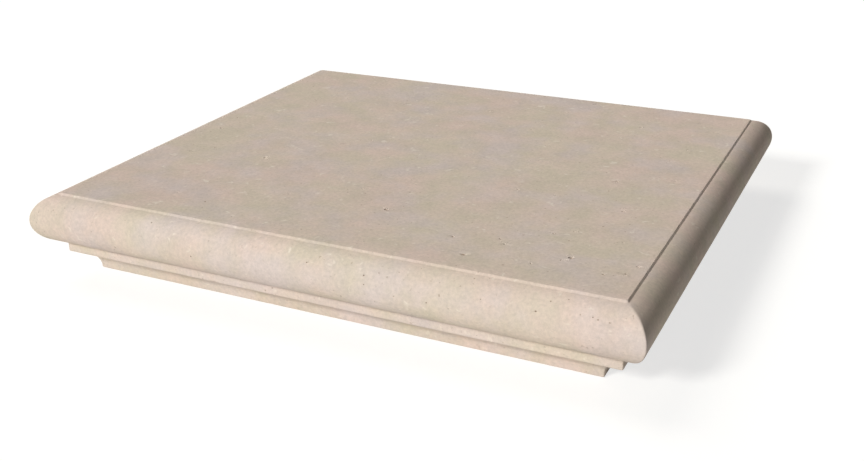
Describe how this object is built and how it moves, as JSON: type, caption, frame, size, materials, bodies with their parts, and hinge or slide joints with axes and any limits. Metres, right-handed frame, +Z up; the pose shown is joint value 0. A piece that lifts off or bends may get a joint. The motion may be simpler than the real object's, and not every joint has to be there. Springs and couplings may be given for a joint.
{
  "type": "coping end cap",
  "caption": "Rectangular cast concrete cap with a flat top, a flat bed and a mitred moulding on all sides: half round, fillet and quarter-round hollow.",
  "frame": {"origin": "centre of the flat bed, on the floor", "axes": "+X along the long side, +Y along the short side, +Z up from the bed to the flat top"},
  "size_m": [0.61, 0.538, 0.085],
  "materials": {
    "cast_concrete": "fine-grained cast concrete, warm buff, matt, with small air holes"
  },
  "bodies": {
    "root": {"coping_end_cap": "cast_concrete"}
  },
  "joints": []
}
